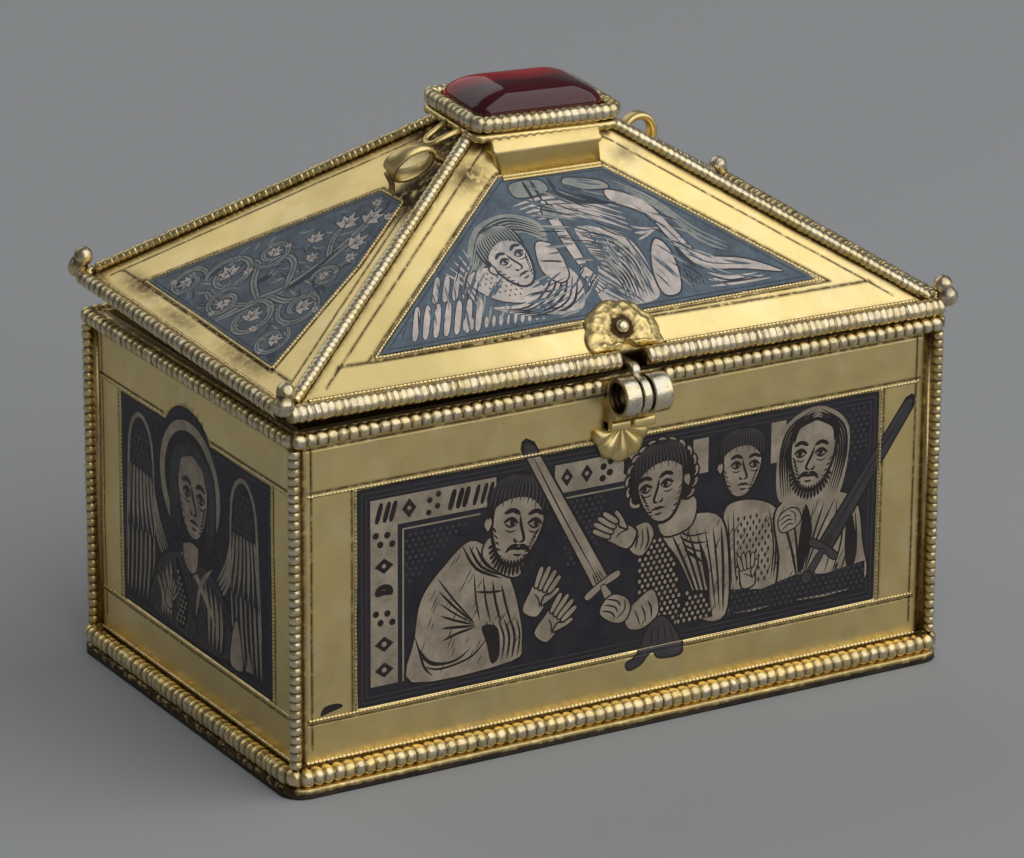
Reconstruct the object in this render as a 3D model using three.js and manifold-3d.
// A small gilt silver casket with a hipped lid, beaded wires, niello panels and a red glass stone.
// Millimetres, +Z up, front towards -Y, origin at the middle of the underside.

import * as THREE from 'three';
import { mergeVertices } from 'three/addons/utils/BufferGeometryUtils.js';
import Module from 'manifold-3d';

const wasm = await Module();
wasm.setup();

// Box: plan sizes run between the centres of the corner wires
const BOX_LENGTH = 67.2;
const BOX_DEPTH = 40.54;
const BASE_THICKNESS = 0.95;
const BASE_OVERHANG = 0.85;
const BASE_CORNER = 2.2;
const WALL_INSET = 0.74;
const WALL_THICKNESS = 0.9;
const WALL_TOP = 33.4;
const CORNER_GROOVE = 1.7;

// Beaded wires, as plain rods of their outer diameter
const WIRE_SIDES = 8;
const BASE_WIRE = 1.76;
const BASE_WIRE_OUTSET = 0.18;
const BASE_BEND = 1.5;
const CORNER_WIRE = 1.05;
const CORNER_INSET = 0.22;
const CORNER_RIB = { width: 0.5, reach: 1.3 };
const RIM_WIRE = 1.4;
const RIM_HEIGHT = 32.95;
const RIM_BEND = 0.85;
const EAVES_WIRE = 1.44;
const HIP_WIRE = 1.2;
const HIP_DROP = 0.2;
const BEZEL_WIRE = 1.6;
const BEZEL_BEND = 1.1;
const BEND_STEPS = 4;

// Lid: its eaves plane sits a little crooked on the box, and its back right corner is bent up and out
const LID_HEIGHT = 35.76;
const LID_TILT_X = 1.98;
const LID_TILT_Y = 0.84;
const BENT_CORNER = { out: 0.5, up: 0.5 };
const EAVES_LENGTH = 68.5;
const EAVES_DEPTH = 39.9;
const HIP_TOP_LENGTH = 15.5;
const HIP_TOP_DEPTH = 6.86;
const HIP_RISE = 16.16;
const ROOF_THICKNESS = 0.8;
const ROOF_DROP = 0.35;
const ROOF_FOOT = 0.76;
const HIP_MARGIN = 0.72;
const FRONT_ROOF_TOP = 15.25;
const END_ROOF_TOP = 16.6;

// Niello fills, set flush in shallow recesses
const NIELLO_DEPTH = 0.35;
const NIELLO_HIGH = 27.2;
const LONG_NIELLO = { left: -26.9, right: 27.4, low: 7.5 };
const END_NIELLO = { left: -14.4, right: 14.9, low: 7.0 };
const HALO = { x: -1.1, height: 24.2, radius: 5.3 };
const LONG_ROOF_NIELLO = [[-23.3, 4.1], [22.2, 4.7], [5.1, 18.9], [-5.6, 19.2]];
const END_ROOF_NIELLO = [[-11.8, 3.4], [12.3, 3.2], [8.2, 15.3], [4.4, 22.9], [0.8, 22.8]];

// Corner knobs
const KNOB = { low: 0.98, high: 1.0, rise: 1.4, inset: 0.3 };
const KNOB_CLEARANCE = 1.12;
const HIP_START = 2.25;

// Stone setting on top of the lid
const BEZEL_LENGTH = 14.6;
const BEZEL_DEPTH = 9.3;
const BEZEL_CENTRE = new THREE.Vector3(0.37, 0.28, 17.69);
const BEZEL_TILT_X = 2.1;
const BEZEL_TILT_Y = 1.45;
const BEZEL_PLATE = 0.8;
const BEZEL_PLATE_OVERHANG = 0.4;
const STONE = { halfLength: 6.4, halfDepth: 3.75, corner: 1.7, girdle: 0.7, rise: 3.1, crown: 0.7, rings: 6 };
const NECK = { low: 12, high: 17.5, halfLength: 5.3, halfDepth: 6.23, at: 13.43, taper: 0.45, flare: 0.1 };

// Clasp in front and hinge behind share one barrel size; the clasp sits off the middle
const BARREL = { radius: 1.85, bore: 1.35, outset: 2.1, height: 32.05, sides: 20 };
const EYE_RADIUS = 1.7;
const STRAP_THICKNESS = 0.58;
const STRAP_SETBACK = 1.0;
const STRAP_LOW = 33.3;
const TONGUE_REACH = 3.5;
const CLASP = {
  x: 0.4, leafX: -0.4, left: [-2.35, -0.8], right: [0.6, 2.4], eye: [-0.5, 0.35], tongueTop: 34.68,
};
const HINGE = {
  x: 0, leafX: 0, left: [-2.6, -0.8], right: [0.8, 2.6], eye: [-0.6, 0.6], tongueTop: 35.95,
};
const PIN = { radius: 1.18, length: 5.6 };
const LEAF = { radius: 2.9, lobe: 0.22, lobes: 5, thickness: 0.65, top: 28.7 };
const LEAF_STEP = { half: 2.35, low: 28.5, high: 29.4, thickness: 1.15 };
const LEAF_TAB_TOP = 31.5;
const RIM_GAP = 3.15;
const EAVES_NOTCH = 1.35;
const ROSETTE = {
  x: 0.62, up: 1.9, radius: 3.7, lobe: 0.25, lobes: 9, foot: 0.86, notch: 0.8, thickness: 0.5,
};
const RIVET = { up: 2.94, radius: 0.66, height: 0.55 };

// Small loops on the end slopes
const LOOP = { along: 2.4, up: 25.5, lift: 1.45, radius: 1.8, bore: 1.2, width: 1.3, foot: 0.55 };
const ARCH = { along: -1.5, up: 26.6, lift: 0.1, radius: 1.95, bore: 1.3, width: 1.3 };
const EYELET = { along: 0.3, up: 29.2, radius: 1.15, wire: 0.45, lean: 55 };

const GAP = 0.05;
const MERGE = 1e-4;
const BIG = 40;
const QUARTER = Math.PI / 2;

// Materials
const gilt = new THREE.MeshStandardMaterial({ color: 0xc9a659, roughness: 0.34, metalness: 1 });
const wornGilt = new THREE.MeshStandardMaterial({ color: 0xb39a63, roughness: 0.38, metalness: 1 });
const silver = new THREE.MeshStandardMaterial({ color: 0xb9b3a4, roughness: 0.36, metalness: 1 });
const niello = new THREE.MeshStandardMaterial({ color: 0x2b2a33, roughness: 0.42, metalness: 0.6 });
const redGlass = new THREE.MeshStandardMaterial({ color: 0x7d0d12, roughness: 0.05, metalness: 0 });

const casket = new THREE.Group();
const lid = new THREE.Group();
lid.position.z = LID_HEIGHT;
lid.rotation.x = THREE.MathUtils.degToRad(LID_TILT_X);
lid.rotation.y = THREE.MathUtils.degToRad(LID_TILT_Y);
casket.add(lid);

// Sides of the box and lid: turn about Z from the front
const SIDES = [
  { name: 'front', turn: 0, long: true },
  { name: 'right', turn: QUARTER, long: false },
  { name: 'back', turn: 2 * QUARTER, long: true },
  { name: 'left', turn: -QUARTER, long: false },
];
const CORNERS = [
  { name: 'front_right', x: 1, y: -1, from: -QUARTER },
  { name: 'back_right', x: 1, y: 1, from: 0, bent: true },
  { name: 'back_left', x: -1, y: 1, from: QUARTER },
  { name: 'front_left', x: -1, y: -1, from: 2 * QUARTER },
];

// Joining and cutting closed geometries
function toSolid(geometry) {
  const plain = geometry.clone();
  plain.deleteAttribute('normal');
  plain.deleteAttribute('uv');
  const merged = mergeVertices(plain, MERGE);
  const vertProperties = new Float32Array(merged.attributes.position.array);
  const triVerts = new Uint32Array(merged.index.array);
  return new wasm.Manifold(new wasm.Mesh({ numProp: 3, vertProperties, triVerts }));
}

function toGeometry(solid) {
  const mesh = solid.getMesh();
  const geometry = new THREE.BufferGeometry();
  geometry.setAttribute('position', new THREE.BufferAttribute(new Float32Array(mesh.vertProperties), 3));
  geometry.setIndex(new THREE.BufferAttribute(new Uint32Array(mesh.triVerts), 1));
  geometry.computeVertexNormals();
  return geometry;
}

function join(...geometries) {
  return toGeometry(geometries.map(toSolid).reduce((whole, piece) => whole.add(piece)));
}

function cut(geometry, ...tools) {
  return toGeometry(tools.map(toSolid).reduce((whole, tool) => whole.subtract(tool), toSolid(geometry)));
}

function addPiece(parent, name, geometry, material) {
  const mesh = new THREE.Mesh(geometry, material);
  mesh.name = name;
  parent.add(mesh);
  return mesh;
}

// Rings of points joined into one skin, closed on itself or capped at both ends
function loft(rings, closed) {
  const count = rings[0].length;
  const points = rings.flat();
  const index = [];
  const last = closed ? rings.length : rings.length - 1;
  for (let i = 0; i < last; i += 1) {
    const here = i * count;
    const next = ((i + 1) % rings.length) * count;
    for (let j = 0; j < count; j += 1) {
      const k = (j + 1) % count;
      index.push(here + j, here + k, next + k, here + j, next + k, next + j);
    }
  }
  if (!closed) {
    const top = (rings.length - 1) * count;
    for (let j = 1; j < count - 1; j += 1) {
      index.push(0, j + 1, j);
      index.push(top, top + j, top + j + 1);
    }
  }
  const geometry = new THREE.BufferGeometry().setFromPoints(points);
  geometry.setIndex(index);
  geometry.computeVertexNormals();
  return geometry;
}

// A flat outline given thickness towards +Z, its outer face at the given level
function sheet(outline, thickness, level) {
  const settings = { depth: thickness, bevelEnabled: false, curveSegments: 8 };
  const geometry = new THREE.ExtrudeGeometry(outline, settings);
  return geometry.translate(0, 0, level - thickness);
}

function block(x0, x1, y0, y1, z0, z1) {
  const geometry = new THREE.BoxGeometry(x1 - x0, y1 - y0, z1 - z0);
  return geometry.translate((x0 + x1) / 2, (y0 + y1) / 2, (z0 + z1) / 2);
}

// A cylinder lying along X
function roller(x0, x1, radius, y, z, sides = BARREL.sides) {
  const geometry = new THREE.CylinderGeometry(radius, radius, x1 - x0, sides);
  return geometry.rotateZ(QUARTER).translate((x0 + x1) / 2, y, z);
}

function rectangle(left, right, low, high) {
  const shape = new THREE.Shape();
  shape.moveTo(left, low);
  shape.lineTo(right, low);
  shape.lineTo(right, high);
  shape.lineTo(left, high);
  shape.closePath();
  return shape;
}

function trapezoid(halfBottom, halfTop, low, high) {
  return new THREE.Shape([
    new THREE.Vector2(-halfBottom, low),
    new THREE.Vector2(halfBottom, low),
    new THREE.Vector2(halfTop, high),
    new THREE.Vector2(-halfTop, high),
  ]);
}

// A convex outline, given anticlockwise, with every edge moved inwards
function insetOutline(corners, inset) {
  const points = corners.map(([x, y]) => new THREE.Vector2(x, y));
  const moved = points.map((point, i) => {
    const before = points[(i + points.length - 1) % points.length];
    const after = points[(i + 1) % points.length];
    const first = point.clone().sub(before).normalize();
    const second = after.clone().sub(point).normalize();
    const normal = new THREE.Vector2(-first.y, first.x).add(new THREE.Vector2(-second.y, second.x));
    return point.clone().addScaledVector(normal, inset / (1 + first.dot(second)));
  });
  return new THREE.Shape(moved);
}

function roundedRectangle(halfX, halfY, radius) {
  const shape = new THREE.Shape();
  shape.absarc(halfX - radius, halfY - radius, radius, 0, QUARTER);
  shape.absarc(-halfX + radius, halfY - radius, radius, QUARTER, 2 * QUARTER);
  shape.absarc(-halfX + radius, -halfY + radius, radius, 2 * QUARTER, 3 * QUARTER);
  shape.absarc(halfX - radius, -halfY + radius, radius, 3 * QUARTER, 4 * QUARTER);
  return shape;
}

// Points of an arc whose edge swells into small lobes
function scallopedArc(x, y, radius, lobe, lobes, from, to) {
  const points = [];
  const steps = lobes * 6;
  for (let i = 0; i <= steps; i += 1) {
    const angle = from + ((to - from) * i) / steps;
    const reach = radius + lobe * Math.abs(Math.sin((Math.PI * lobes * i) / steps));
    points.push(new THREE.Vector2(x + reach * Math.cos(angle), y + reach * Math.sin(angle)));
  }
  return points;
}

// A frame on one side: X along it, Y up its face, Z outwards
function sideFrame(parent, turn, distance, slope) {
  const turned = new THREE.Group();
  turned.rotation.z = turn;
  parent.add(turned);
  const frame = new THREE.Group();
  frame.position.y = -distance;
  frame.rotation.x = slope;
  turned.add(frame);
  return frame;
}

// A circle of points, turning from the first direction to the second
function ring(centre, first, second, radius, sides) {
  const points = [];
  for (let j = 0; j < sides; j += 1) {
    const angle = ((j + 0.5) / sides) * 4 * QUARTER;
    const point = centre.clone().addScaledVector(first, radius * Math.cos(angle));
    points.push(point.addScaledVector(second, radius * Math.sin(angle)));
  }
  return points;
}

// Bent wires: a station is a point of the wire and the outward direction there
function bend(halfX, halfY, radius, corner) {
  const stations = [];
  for (let i = 0; i <= BEND_STEPS; i += 1) {
    const angle = corner.from + (QUARTER * i) / BEND_STEPS;
    const normal = new THREE.Vector3(Math.cos(angle), Math.sin(angle), 0);
    const centre = new THREE.Vector3(corner.x * (halfX - radius), corner.y * (halfY - radius), 0);
    stations.push({ point: centre.addScaledVector(normal, radius), normal });
  }
  return stations;
}

function bentWire(stations, diameter, closed) {
  const down = new THREE.Vector3(0, 0, -1);
  const rings = stations.map(({ point, normal }) => ring(point, normal, down, diameter / 2, WIRE_SIDES));
  return loft(rings, closed);
}

function wireLoop(halfX, halfY, radius, diameter) {
  return bentWire(CORNERS.flatMap((corner) => bend(halfX, halfY, radius, corner)), diameter, true);
}

function runEnd(x, y) {
  return { point: new THREE.Vector3(x, y, 0), normal: new THREE.Vector3(0, Math.sign(y), 0) };
}

function straightWire(from, to, diameter) {
  const radius = diameter / 2;
  const geometry = new THREE.CylinderGeometry(radius, radius, from.distanceTo(to), WIRE_SIDES);
  geometry.rotateY(Math.PI / WIRE_SIDES);
  const direction = to.clone().sub(from).normalize();
  const turn = new THREE.Quaternion().setFromUnitVectors(new THREE.Vector3(0, 1, 0), direction);
  const middle = from.clone().add(to).multiplyScalar(0.5);
  return geometry.applyQuaternion(turn).translate(middle.x, middle.y, middle.z);
}

// Box: base plate, four walls with their niello fills, and the wires round them
const boxHalfX = BOX_LENGTH / 2;
const boxHalfY = BOX_DEPTH / 2;
const wallX = boxHalfX - WALL_INSET;
const wallY = boxHalfY - WALL_INSET;

function wallNielloOutline(side, inset) {
  const span = side.long ? LONG_NIELLO : END_NIELLO;
  const left = span.left + inset;
  const right = span.right - inset;
  const high = NIELLO_HIGH - inset;
  if (side.name !== 'left') {
    return rectangle(left, right, span.low + inset, high);
  }
  const radius = HALO.radius - inset;
  const rise = Math.asin((high - HALO.height) / radius);
  const shape = new THREE.Shape();
  shape.moveTo(left, span.low + inset);
  shape.lineTo(right, span.low + inset);
  shape.lineTo(right, high);
  shape.absarc(HALO.x, HALO.height, radius, rise, Math.PI - rise);
  shape.lineTo(left, high);
  shape.closePath();
  return shape;
}

function addWall(side) {
  const frame = sideFrame(casket, side.turn, side.long ? wallY : wallX, QUARTER);
  const half = side.long ? boxHalfX - CORNER_GROOVE : wallY - WALL_INSET + GAP;
  const plain = sheet(rectangle(-half, half, BASE_THICKNESS, WALL_TOP), WALL_THICKNESS, 0);
  const recess = sheet(wallNielloOutline(side, 0), 2 * NIELLO_DEPTH, NIELLO_DEPTH);
  addPiece(frame, `${side.name}_wall`, cut(plain, recess), gilt);
  const fill = sheet(wallNielloOutline(side, GAP), NIELLO_DEPTH - GAP, 0);
  addPiece(frame, `${side.name}_niello`, fill, niello);
}

function addBox() {
  const plateX = boxHalfX + BASE_OVERHANG;
  const plateY = boxHalfY + BASE_OVERHANG;
  const plate = sheet(roundedRectangle(plateX, plateY, BASE_CORNER), BASE_THICKNESS, BASE_THICKNESS);
  addPiece(casket, 'base_plate', plate, wornGilt);
  SIDES.forEach(addWall);

  const baseX = boxHalfX + BASE_WIRE_OUTSET;
  const baseY = boxHalfY + BASE_WIRE_OUTSET;
  const baseLoop = wireLoop(baseX, baseY, BASE_BEND, BASE_WIRE);
  const baseWire = addPiece(casket, 'base_beaded_wire', baseLoop, wornGilt);
  baseWire.position.z = BASE_THICKNESS + BASE_WIRE / 2;

  const bends = CORNERS.map((corner) => bend(boxHalfX, boxHalfY, RIM_BEND, corner));
  const [frontRight, backRight, backLeft, frontLeft] = bends;
  const rightRun = [
    runEnd(CLASP.x + RIM_GAP, -boxHalfY), ...frontRight, ...backRight, runEnd(HINGE.x + RIM_GAP, boxHalfY),
  ];
  const leftRun = [
    runEnd(HINGE.x - RIM_GAP, boxHalfY), ...backLeft, ...frontLeft, runEnd(CLASP.x - RIM_GAP, -boxHalfY),
  ];
  const runs = { right: rightRun, left: leftRun };
  for (const [name, run] of Object.entries(runs)) {
    const rim = addPiece(casket, `rim_beaded_wire_${name}`, bentWire(run, RIM_WIRE, false), wornGilt);
    rim.position.z = RIM_HEIGHT;
  }

  const postLow = BASE_THICKNESS + BASE_WIRE + GAP;
  const postHigh = RIM_HEIGHT - RIM_WIRE / 2 - GAP;
  for (const corner of CORNERS) {
    const x = corner.x * (boxHalfX - CORNER_INSET);
    const y = corner.y * (boxHalfY - CORNER_INSET);
    const foot = new THREE.Vector3(x, y, postLow);
    const post = straightWire(foot, foot.clone().setZ(postHigh), CORNER_WIRE);
    const half = CORNER_RIB.width / 2;
    const rib = block(-CORNER_RIB.reach, 0, -half, half, postLow, postHigh);
    rib.rotateZ(Math.atan2(corner.y, corner.x)).translate(x, y, 0);
    addPiece(casket, `corner_wire_${corner.name}`, join(post, rib), wornGilt);
  }
}

// Lid: four roof sheets with niello fills, wires along eaves and hips, and corner knobs
const eavesX = EAVES_LENGTH / 2;
const eavesY = EAVES_DEPTH / 2;
const hipTopX = HIP_TOP_LENGTH / 2;
const hipTopY = HIP_TOP_DEPTH / 2;
const longSlope = Math.atan2(HIP_RISE, eavesY - hipTopY);
const endSlope = Math.atan2(HIP_RISE, eavesX - hipTopX);

// The setting's own frame in the lid, and a block that trims what would run into its underside
const bezel = new THREE.Group();
bezel.position.copy(BEZEL_CENTRE);
bezel.rotation.x = THREE.MathUtils.degToRad(BEZEL_TILT_X);
bezel.rotation.y = THREE.MathUtils.degToRad(BEZEL_TILT_Y);
bezel.updateMatrix();
lid.add(bezel);
const bezelUnderside = -(BEZEL_WIRE / 2 + GAP + BEZEL_PLATE);

function aboveUnderside() {
  const low = bezelUnderside - GAP;
  return block(-BIG, BIG, -BIG, BIG, low, low + BIG).applyMatrix4(bezel.matrix);
}

function roofOutline(side, top) {
  const slope = side.long ? longSlope : endSlope;
  const half = side.long ? eavesX : eavesY;
  const halfTop = side.long ? hipTopX : hipTopY;
  const length = HIP_RISE / Math.sin(slope);
  const lean = (half - halfTop) / length;
  const margin = HIP_MARGIN * Math.hypot(1, lean);
  const high = top / Math.sin(slope);
  return trapezoid(half - margin - lean * ROOF_FOOT, half - margin - lean * high, ROOF_FOOT, high);
}

function roofNielloOutline(side, inset) {
  if (side.long) {
    return insetOutline(LONG_ROOF_NIELLO, inset);
  }
  const mirrored = END_ROOF_NIELLO.map(([x, y]) => [-x, y]).reverse();
  return insetOutline(side.name === 'left' ? END_ROOF_NIELLO : mirrored, inset);
}

function addRoof(side) {
  const slope = side.long ? longSlope : endSlope;
  const frame = sideFrame(lid, side.turn, side.long ? eavesY : eavesX, slope);
  frame.parent.updateMatrix();
  frame.updateMatrix();
  const toFrame = frame.parent.matrix.clone().multiply(frame.matrix).invert();
  const outline = roofOutline(side, side.long ? FRONT_ROOF_TOP : END_ROOF_TOP);
  const plain = sheet(outline, ROOF_THICKNESS, -ROOF_DROP);
  const recess = sheet(roofNielloOutline(side, 0), 2 * NIELLO_DEPTH, NIELLO_DEPTH - ROOF_DROP);
  addPiece(frame, `${side.name}_roof`, cut(plain, recess, aboveUnderside().applyMatrix4(toFrame)), gilt);
  const fill = sheet(roofNielloOutline(side, GAP), NIELLO_DEPTH - GAP, -ROOF_DROP);
  addPiece(frame, `${side.name}_roof_niello`, fill, niello);
  return frame;
}

function eavesCorner(corner) {
  const point = new THREE.Vector3(corner.x * eavesX, corner.y * eavesY, 0);
  return corner.bent ? point.add(new THREE.Vector3(BENT_CORNER.out, 0, BENT_CORNER.up)) : point;
}

function addEaves() {
  const [frontRight, backRight, backLeft, frontLeft] = CORNERS.map(eavesCorner);
  const frontMiddle = new THREE.Vector3(ROSETTE.x, -eavesY, 0);
  const backMiddle = new THREE.Vector3(HINGE.x, eavesY, 0);
  const runs = [
    { name: 'left', corner: frontLeft, end: backLeft, clearance: KNOB_CLEARANCE },
    { name: 'right', corner: frontRight, end: backRight, clearance: KNOB_CLEARANCE },
    { name: 'front_left', corner: frontLeft, end: frontMiddle, clearance: EAVES_NOTCH },
    { name: 'front_right', corner: frontRight, end: frontMiddle, clearance: EAVES_NOTCH },
    { name: 'back_left', corner: backLeft, end: backMiddle, clearance: EAVES_NOTCH },
    { name: 'back_right', corner: backRight, end: backMiddle, clearance: EAVES_NOTCH },
  ];
  for (const { name, corner, end, clearance } of runs) {
    const direction = end.clone().sub(corner).normalize();
    const from = corner.clone().addScaledVector(direction, KNOB_CLEARANCE);
    const to = end.clone().addScaledVector(direction, -clearance);
    addPiece(lid, `eaves_wire_${name}`, straightWire(from, to, EAVES_WIRE), wornGilt);
  }
}

function addHip(corner) {
  const eaves = eavesCorner(corner);
  const top = new THREE.Vector3(corner.x * hipTopX, corner.y * hipTopY, HIP_RISE);
  const direction = top.clone().sub(eaves).normalize();
  const start = eaves.clone().addScaledVector(direction, HIP_START);
  const wire = straightWire(start, top, HIP_WIRE).translate(0, 0, -HIP_DROP);
  addPiece(lid, `hip_wire_${corner.name}`, cut(wire, aboveUnderside()), wornGilt);

  const low = new THREE.SphereGeometry(KNOB.low, 12, 8).translate(eaves.x, eaves.y, eaves.z);
  const x = eaves.x - corner.x * KNOB.inset;
  const y = eaves.y - corner.y * KNOB.inset;
  const high = new THREE.SphereGeometry(KNOB.high, 12, 8).translate(x, y, eaves.z + KNOB.rise);
  addPiece(lid, `corner_knob_${corner.name}`, join(low, high), silver);
}

// Stone setting: neck, plate, beaded wire and domed stone
function rectangleRing(halfX, halfY, z) {
  return CORNERS.map((corner) => new THREE.Vector3(corner.x * halfX, corner.y * halfY, z));
}

function neckRing(z) {
  const rise = z - NECK.at;
  return rectangleRing(NECK.halfLength + NECK.flare * rise, NECK.halfDepth - NECK.taper * rise, z);
}

// The roof's outer form up to a flat top, grown by a clearance
function roofForm(clearance, top) {
  const offset = clearance - ROOF_DROP;
  const halfX = eavesX + offset / Math.sin(endSlope);
  const halfY = eavesY + offset / Math.sin(longSlope);
  const topX = halfX - top / Math.tan(endSlope);
  const topY = halfY - top / Math.tan(longSlope);
  return loft([rectangleRing(halfX, halfY, 0), rectangleRing(topX, topY, top)], false);
}

function stoneRing(shrink, z) {
  const { halfLength, halfDepth, corner } = STONE;
  const outline = roundedRectangle(halfLength * shrink, halfDepth * shrink, corner * shrink);
  return outline.getPoints(4).slice(0, -1).map((point) => new THREE.Vector3(point.x, point.y, z));
}

function stoneGeometry() {
  const low = -BEZEL_WIRE / 2;
  const girdle = low + STONE.girdle;
  const rings = [stoneRing(1, low), stoneRing(1, girdle)];
  for (let i = 1; i <= STONE.rings; i += 1) {
    const angle = (QUARTER * i) / (STONE.rings + 0.6);
    rings.push(stoneRing(Math.cos(angle) ** STONE.crown, girdle + (STONE.rise - girdle) * Math.sin(angle)));
  }
  return loft(rings, false);
}

function addSetting() {
  const neck = loft([neckRing(NECK.low), neckRing(NECK.high)], false);
  addPiece(lid, 'setting_neck', cut(neck, roofForm(GAP, FRONT_ROOF_TOP + GAP), aboveUnderside()), gilt);
  const halfX = BEZEL_LENGTH / 2;
  const halfY = BEZEL_DEPTH / 2;
  const plateX = halfX + BEZEL_PLATE_OVERHANG;
  const plateY = halfY + BEZEL_PLATE_OVERHANG;
  const outline = roundedRectangle(plateX, plateY, BEZEL_BEND);
  const plate = sheet(outline, BEZEL_PLATE, bezelUnderside + BEZEL_PLATE);
  addPiece(bezel, 'bezel_plate', plate, gilt);
  addPiece(bezel, 'bezel_beaded_wire', wireLoop(halfX, halfY, BEZEL_BEND, BEZEL_WIRE), wornGilt);
  addPiece(bezel, 'red_stone', stoneGeometry(), redGlass);
}

// Clasp and hinge: barrels on a leaf, a strap with an eye between them, a rosette and rivet on the lid
function leafGeometry(fitting) {
  const outline = new THREE.Shape(
    scallopedArc(fitting.leafX, LEAF.top, LEAF.radius, LEAF.lobe, LEAF.lobes, 2 * QUARTER, 4 * QUARTER));
  const { half, low, high, thickness } = LEAF_STEP;
  const pieces = [
    sheet(outline, LEAF.thickness, LEAF.thickness + GAP),
    block(fitting.x - half, fitting.x + half, low, high, GAP, thickness),
  ];
  for (const [from, to] of [fitting.left, fitting.right]) {
    pieces.push(block(fitting.x + from, fitting.x + to, low, LEAF_TAB_TOP, GAP, GAP + LEAF.thickness));
    pieces.push(roller(fitting.x + from, fitting.x + to, BARREL.radius, BARREL.height, BARREL.outset));
  }
  const bore = roller(-BIG, BIG, BARREL.bore, BARREL.height, BARREL.outset);
  return cut(join(...pieces), bore);
}

function strapGeometry(fitting) {
  const from = fitting.x + fitting.eye[0];
  const to = fitting.x + fitting.eye[1];
  const outside = BARREL.outset - STRAP_SETBACK + STRAP_THICKNESS;
  const eye = roller(from, to, EYE_RADIUS, BARREL.height, BARREL.outset);
  const tab = block(from, to, STRAP_LOW, fitting.tongueTop, outside - STRAP_THICKNESS, outside);
  const tongueLow = fitting.tongueTop - STRAP_THICKNESS;
  const tongue = block(from, to, tongueLow, fitting.tongueTop, outside - TONGUE_REACH, outside);
  const bore = roller(-BIG, BIG, BARREL.bore, BARREL.height, BARREL.outset);
  return cut(join(eye, tab, tongue), bore);
}

function rosetteOutline(x) {
  const dip = Math.asin((ROSETTE.up - ROSETTE.foot) / ROSETTE.radius);
  const { up, radius, lobe, lobes, foot, notch } = ROSETTE;
  const points = scallopedArc(x, up, radius, lobe, lobes, -dip, Math.PI + dip);
  points.push(new THREE.Vector2(x - notch, foot));
  points.push(new THREE.Vector2(x, foot + notch));
  points.push(new THREE.Vector2(x + notch, foot));
  return new THREE.Shape(points);
}

function rivetGeometry() {
  const profile = [new THREE.Vector2(0, 0), new THREE.Vector2(RIVET.radius, 0)];
  const steps = 5;
  for (let i = 1; i <= steps; i += 1) {
    const angle = (QUARTER * i) / steps;
    const out = i === steps ? 0 : RIVET.radius * Math.cos(angle);
    profile.push(new THREE.Vector2(out, RIVET.height * Math.sin(angle)));
  }
  return new THREE.LatheGeometry(profile, 14).rotateX(QUARTER);
}

function addFitting(name, fitting, turn, roofFrame, rosetteX) {
  const wallFrame = sideFrame(casket, turn, wallY, QUARTER);
  addPiece(wallFrame, `${name}_leaf`, leafGeometry(fitting), gilt);
  addPiece(wallFrame, `${name}_strap`, strapGeometry(fitting), silver);
  const face = GAP - ROOF_DROP;
  const rosette = sheet(rosetteOutline(rosetteX), ROSETTE.thickness, face + ROSETTE.thickness);
  addPiece(roofFrame, `${name}_rosette`, rosette, gilt);
  const rivet = addPiece(roofFrame, `${name}_rivet`, rivetGeometry(), silver);
  rivet.position.set(rosetteX, RIVET.up, face + ROSETTE.thickness + GAP);
  return wallFrame;
}

// Loops on the end slopes
function strapRing({ along, up, lift, radius, bore, width }) {
  const from = along - width / 2;
  const to = along + width / 2;
  return cut(roller(from, to, radius, up, lift), roller(-BIG, BIG, bore, up, lift));
}

function addLoops(leftFrame, rightFrame) {
  const face = GAP - ROOF_DROP;
  const { along, up, lift, radius, bore, foot } = LOOP;
  const lowFoot = block(along - foot / 2, along + foot / 2, up - radius - foot, up - bore, face, lift);
  const highFoot = block(along - foot / 2, along + foot / 2, up + bore, up + radius + foot, face, lift);
  addPiece(leftFrame, 'left_loop', join(strapRing(LOOP), lowFoot, highFoot), silver);

  const belowRoof = block(-BIG, BIG, -BIG, BIG, face - BIG, face);
  addPiece(rightFrame, 'right_loop', cut(strapRing(ARCH), belowRoof), silver);

  const lean = THREE.MathUtils.degToRad(EYELET.lean);
  const across = new THREE.Vector3(1, 0, 0);
  const rise = new THREE.Vector3(0, Math.sin(lean), Math.cos(lean));
  const side = new THREE.Vector3().crossVectors(across, rise).negate();
  const centre = new THREE.Vector3(EYELET.along, EYELET.up, face + EYELET.wire / 2);
  const rings = [];
  const steps = 12;
  for (let i = 0; i <= steps; i += 1) {
    const angle = (Math.PI * i) / steps;
    const out = across.clone().multiplyScalar(Math.cos(angle)).addScaledVector(rise, Math.sin(angle));
    const middle = centre.clone().addScaledVector(out, EYELET.radius);
    rings.push(ring(middle, out, side, EYELET.wire / 2, WIRE_SIDES));
  }
  addPiece(leftFrame, 'left_eyelet', loft(rings, false), silver);
}

addBox();
const roofs = Object.fromEntries(SIDES.map((side) => [side.name, addRoof(side)]));
addEaves();
CORNERS.forEach(addHip);
addSetting();
addFitting('clasp', CLASP, 0, roofs.front, ROSETTE.x);
const hingeFrame = addFitting('hinge', HINGE, 2 * QUARTER, roofs.back, HINGE.x);
const pin = roller(-PIN.length / 2, PIN.length / 2, PIN.radius, BARREL.height, BARREL.outset);
addPiece(hingeFrame, 'hinge_pin', pin, silver);
addLoops(roofs.left, roofs.right);

export default casket;
